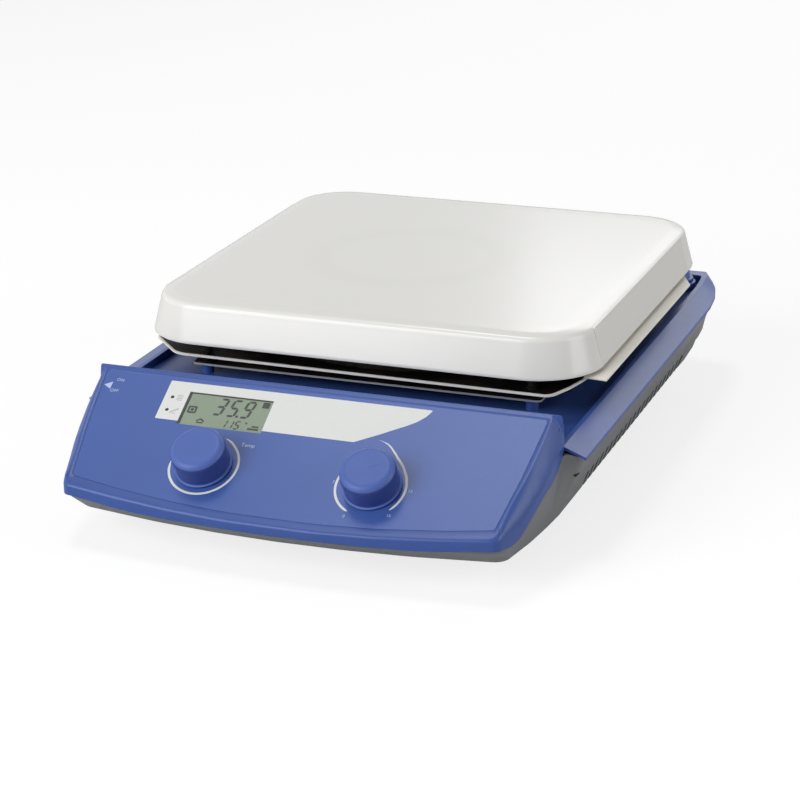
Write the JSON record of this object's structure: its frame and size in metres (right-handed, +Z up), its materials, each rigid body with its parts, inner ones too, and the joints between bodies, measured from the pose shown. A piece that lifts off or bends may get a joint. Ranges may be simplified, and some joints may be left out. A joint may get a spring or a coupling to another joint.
{
  "type": "heated magnetic stirrer",
  "caption": "Bench stirrer with a square white hot plate on a low blue and grey housing, whose sloping front panel carries a display and two knobs; a magnet turns under the plate.",
  "frame": {"origin": "on the bench, under the middle of the housing", "axes": "+X to the right of someone facing the control panel, +Y to the back, +Z up"},
  "size_m": [0.3, 0.415, 0.105],
  "materials": {
    "housing_blue": "satin moulded plastic with a fine grain",
    "base_grey": "fine-grained moulded plastic",
    "glazed_white": "glossy white glaze fired on steel",
    "cheek_white": "satin white enamel",
    "bright_steel": "turned steel",
    "sheet_steel": "rolled sheet, darkened by heat",
    "aluminium": "cast, matt",
    "brass": "turned brass",
    "mineral_fibre": "pressed mineral fibre",
    "black_plastic": "black moulded plastic",
    "magnet_grey": "sintered, matt",
    "foil_blue": "printed polyester foil, fine matt grain",
    "clear_window": "clear, slightly recessed",
    "display_green": "liquid crystal glass, grey-green",
    "indicator": "unlit tinted lens",
    "board_green": "lacquered board",
    "knob_blue": "satin moulded plastic",
    "foot_rubber": "moulded rubber"
  },
  "bodies": {
    "housing": {"housing_cover": "housing_blue", "rod_socket": "housing_blue", "base_shell": "base_grey", "heating_plate": "glazed_white", "side_cheek_left": "cheek_white", "side_cheek_right": "cheek_white", "plate_post_front_left": "bright_steel", "plate_post_back_left": "bright_steel", "plate_post_front_right": "bright_steel", "plate_post_back_right": "bright_steel", "temperature_encoder_nut": "bright_steel", "speed_encoder_nut": "bright_steel", "mains_inlet_screw_left": "bright_steel", "mains_inlet_screw_right": "bright_steel", "motor_body": "bright_steel", "foot_screw_front_left": "bright_steel", "foot_screw_back_left": "bright_steel", "foot_screw_front_right": "bright_steel", "foot_screw_back_right": "bright_steel", "cover_screw_front_left": "bright_steel", "cover_screw_back_left": "bright_steel", "cover_screw_front_right": "bright_steel", "cover_screw_back_right": "bright_steel", "lower_heat_shield": "sheet_steel", "heat_shield_pan": "sheet_steel", "motor_bracket": "sheet_steel", "temperature_encoder": "sheet_steel", "speed_encoder": "sheet_steel", "heating_element": "aluminium", "heatsink": "aluminium", "shaft_bush": "brass", "plate_temperature_sensor": "brass", "overheat_limiter": "brass", "insulation_ring": "mineral_fibre", "power_transformer": "black_plastic", "mains_inlet": "black_plastic", "sensor_socket": "black_plastic", "fuse_holder": "black_plastic", "switch_housing": "black_plastic", "panel_foil": "foil_blue", "display_window": "clear_window", "display_module": "display_green", "indicator_upper": "indicator", "indicator_lower": "indicator", "control_board": "board_green", "power_board": "board_green", "foot_front_left": "foot_rubber", "foot_back_left": "foot_rubber", "foot_front_right": "foot_rubber", "foot_back_right": "foot_rubber"},
    "temperature_dial": {"temperature_knob": "knob_blue", "temperature_shaft": "brass"},
    "speed_dial": {"speed_knob": "knob_blue", "speed_shaft": "brass"},
    "rotor": {"motor_shaft": "bright_steel", "magnet_carrier": "black_plastic", "drive_magnet": "magnet_grey"},
    "power_rocker": {"switch_rocker": "black_plastic"},
    "fuse_cap_body": {"fuse_cap": "black_plastic"}
  },
  "joints": [
    {"name": "temperature_turn", "type": "hinge", "parent": "housing", "child": "temperature_dial", "pos_m": [-0.0489, -0.17769, 0.04748], "axis": [0, -0.5165, 0.8563], "continuous": true},
    {"name": "speed_turn", "type": "hinge", "parent": "housing", "child": "speed_dial", "pos_m": [0.0489, -0.17769, 0.04748], "axis": [0, -0.5165, 0.8563], "range_deg": [-93, 200]},
    {"name": "stirring_drive", "type": "hinge", "parent": "housing", "child": "rotor", "pos_m": [0, 0.052, 0.08], "axis": [0, 0, 1], "continuous": true},
    {"name": "power_switch", "type": "hinge", "parent": "housing", "child": "power_rocker", "pos_m": [-0.14026, -0.092, 0.03697], "axis": [-0.4232, 0, 0.906], "range_deg": [0, 16]},
    {"name": "fuse_cap_turn", "type": "hinge", "parent": "housing", "child": "fuse_cap_body", "pos_m": [-0.015, 0.198, 0.0433], "axis": [0, 1, 0], "range_deg": [0, 60]}
  ]
}
